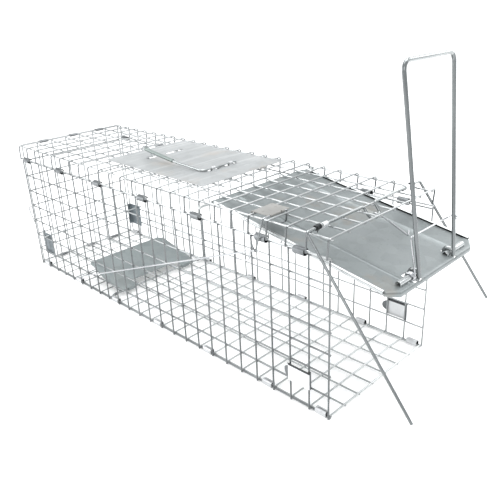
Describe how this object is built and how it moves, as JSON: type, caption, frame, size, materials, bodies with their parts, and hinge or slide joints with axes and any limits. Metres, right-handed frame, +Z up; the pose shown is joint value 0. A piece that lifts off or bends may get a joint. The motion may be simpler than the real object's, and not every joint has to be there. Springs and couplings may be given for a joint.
{
  "type": "live catch trap",
  "caption": "Long welded wire cage trap with a hinged sheet door at one end, spring bar, lock handle, floor treadle with trigger rod, guard plate and carry handle.",
  "frame": {"origin": "centre of the whole object's box at the surface the trap stands on", "axes": "+Z up, +Y along the cage away from the door end, the door faces -Y, +X to the right seen from the door end"},
  "size_m": [0.2012, 0.717, 0.3534],
  "materials": {
    "mesh_wire": "galvanised",
    "heavy_wire": "galvanised",
    "spring_steel": "bright zinc",
    "clip_steel": "galvanised",
    "bright_sheet": "galvanised sheet",
    "door_sheet": "dull galvanised sheet",
    "treadle_sheet": "dull galvanised sheet"
  },
  "bodies": {
    "cage": {"floor_mesh": "mesh_wire", "side_mesh_left": "mesh_wire", "side_mesh_right": "mesh_wire", "rear_mesh": "mesh_wire", "top_mesh": "mesh_wire", "top_flange_left": "mesh_wire", "top_flange_right": "mesh_wire", "top_clips_left": "clip_steel", "top_clips_right": "clip_steel", "floor_clips_left": "clip_steel", "floor_clips_right": "clip_steel", "rear_clips": "clip_steel", "rear_stay_rod": "heavy_wire", "rear_plate_left": "bright_sheet", "rear_plate_right": "bright_sheet", "rear_hook": "mesh_wire", "guard_plate": "bright_sheet", "handle_staples": "clip_steel", "hinge_rod": "heavy_wire", "bar_clips": "clip_steel", "torsion_springs": "spring_steel", "catch_plate_left": "bright_sheet", "catch_plate_right": "bright_sheet", "lever_bracket": "bright_sheet", "treadle_pivot_rod": "heavy_wire", "treadle_pivot_clips": "clip_steel"},
    "door": {"door_panel": "door_sheet"},
    "lock": {"lock_handle": "heavy_wire", "handle_spring": "spring_steel"},
    "spring_bar": {"spring_bar": "heavy_wire"},
    "pull_rod": {"pull_rod": "spring_steel"},
    "trigger_lever": {"trigger_lever": "spring_steel"},
    "trigger_rod": {"trigger_rod": "spring_steel"},
    "treadle": {"treadle": "treadle_sheet", "treadle_arm": "heavy_wire"},
    "carry_handle": {"carry_handle": "heavy_wire", "carry_grip": "door_sheet"}
  },
  "joints": [
    {"name": "door_hinge", "type": "hinge", "parent": "cage", "child": "door", "pos_m": [0, -0.08528, 0.1955], "axis": [1, 0, 0], "range_deg": [0, 42]},
    {"name": "lock_handle_pivot", "type": "hinge", "parent": "door", "child": "lock", "pos_m": [0, -0.31212, 0.16099], "axis": [1, 0, 0], "range_deg": [0, 50]},
    {"name": "spring_bar_pivot", "type": "hinge", "parent": "cage", "child": "spring_bar", "pos_m": [0, -0.23788, 0.2054], "axis": [1, 0, 0], "range_deg": [-6, 38]},
    {"name": "pull_rod_pivot", "type": "hinge", "parent": "spring_bar", "child": "pull_rod", "pos_m": [0.0009, -0.24608, 0.1946], "axis": [1, 0, 0], "range_deg": [-40, 8]},
    {"name": "treadle_pivot", "type": "hinge", "parent": "cage", "child": "treadle", "pos_m": [-0.003, 0.14252, 0.007], "axis": [1, 0, 0], "range_deg": [-8, 0]},
    {"name": "trigger_lever_pivot", "type": "hinge", "parent": "cage", "child": "trigger_lever", "pos_m": [-0.07, -0.18088, 0.2045], "axis": [1, 0, 0], "range_deg": [0, 10.4]},
    {"name": "trigger_rod_pivot", "type": "hinge", "parent": "trigger_lever", "child": "trigger_rod", "pos_m": [-0.097, -0.16808, 0.168], "axis": [1, 0, 0], "range_deg": [-12.2, 0]},
    {"name": "carry_handle_pivot", "type": "hinge", "parent": "cage", "child": "carry_handle", "pos_m": [0.01, -0.00608, 0.206], "axis": [1, 0, 0], "range_deg": [0, 75]}
  ],
  "couplings": [
    {"joint": "pull_rod_pivot", "follows": "spring_bar_pivot", "ratio": -1},
    {"joint": "trigger_lever_pivot", "follows": "treadle_pivot", "ratio": -1.28},
    {"joint": "trigger_rod_pivot", "follows": "treadle_pivot", "ratio": 1.5}
  ]
}
